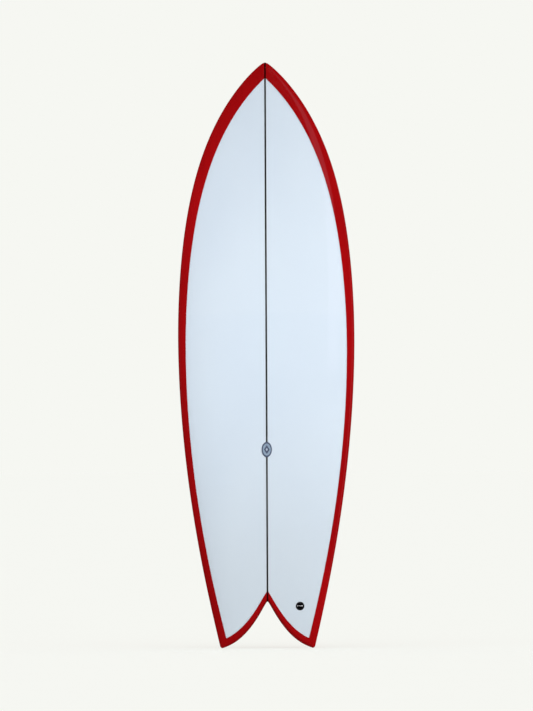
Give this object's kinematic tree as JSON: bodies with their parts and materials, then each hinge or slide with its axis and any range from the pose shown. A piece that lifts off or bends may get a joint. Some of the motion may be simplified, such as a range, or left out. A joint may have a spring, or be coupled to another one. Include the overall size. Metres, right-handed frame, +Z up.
{
  "type": "shortboard surfboard",
  "caption": "Swallow-tail shortboard with a red tinted bottom and cut laps, clear deck, dark wooden stringer, removable keel fins in boxes and a leash plug.",
  "frame": {"origin": "on the ground under the middle of the board's bounding box, with the board standing upright on its two tail tips", "axes": "+Z up along the stringer from the tail to the nose, -Y is the way the deck faces, +Y is the way the bottom and the fins face, +X is to the right of someone looking at the deck, the leash plug's side"},
  "size_m": [0.5208, 0.2288, 1.727],
  "materials": {
    "foam": "matte",
    "stringer": "satin",
    "tinted_glass": "gloss",
    "clear_glass": "gloss",
    "patch_cloth": "matte",
    "fin_box": "matte",
    "keel_fin": "gloss",
    "steel": "satin",
    "plug": "satin",
    "decal": "gloss"
  },
  "bodies": {
    "root": {"foam_blank_left": "foam", "foam_blank_right": "foam", "stringer": "stringer", "bottom_lamination": "tinted_glass", "deck_lamination": "clear_glass", "deck_patch": "patch_cloth", "fin_patch_left": "patch_cloth", "fin_patch_right": "patch_cloth", "fin_box_left": "fin_box", "fin_box_right": "fin_box", "keel_fin_left": "keel_fin", "keel_fin_right": "keel_fin", "fin_screws": "steel", "leash_plug_cup": "plug", "leash_plug_bar": "steel", "centre_decal": "decal"}
  },
  "joints": []
}
